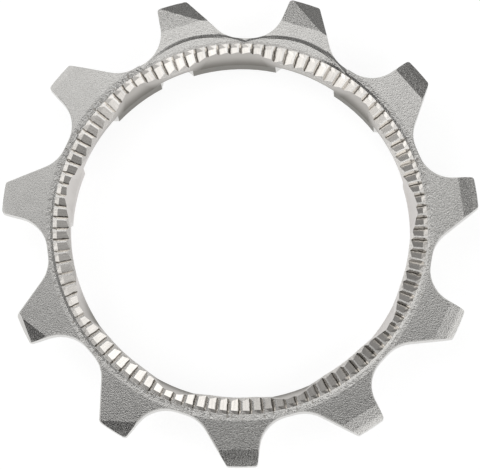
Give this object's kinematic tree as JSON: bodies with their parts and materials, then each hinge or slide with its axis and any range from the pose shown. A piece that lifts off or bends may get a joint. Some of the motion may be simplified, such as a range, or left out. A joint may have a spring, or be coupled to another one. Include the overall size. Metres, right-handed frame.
{
  "type": "bicycle cassette sprocket",
  "caption": "One-piece steel cassette cog for the outermost place, with a serrated lockring seat, a splined bore, a rear spacer ring and lowered shift teeth.",
  "frame": {"origin": "on the bore's axis, at the rear face of the spacer ring, which is the face it lies on", "axes": "+Z along the bore's axis, out of the serrated front face; +Y between the two lowered shift teeth; +X to the right as seen from the front"},
  "size_m": [0.046, 0.0456, 0.0049],
  "materials": {
    "steel": "satin nickel plating over blasted steel, with a fine grain"
  },
  "bodies": {
    "root": {"cog": "steel"}
  },
  "joints": []
}
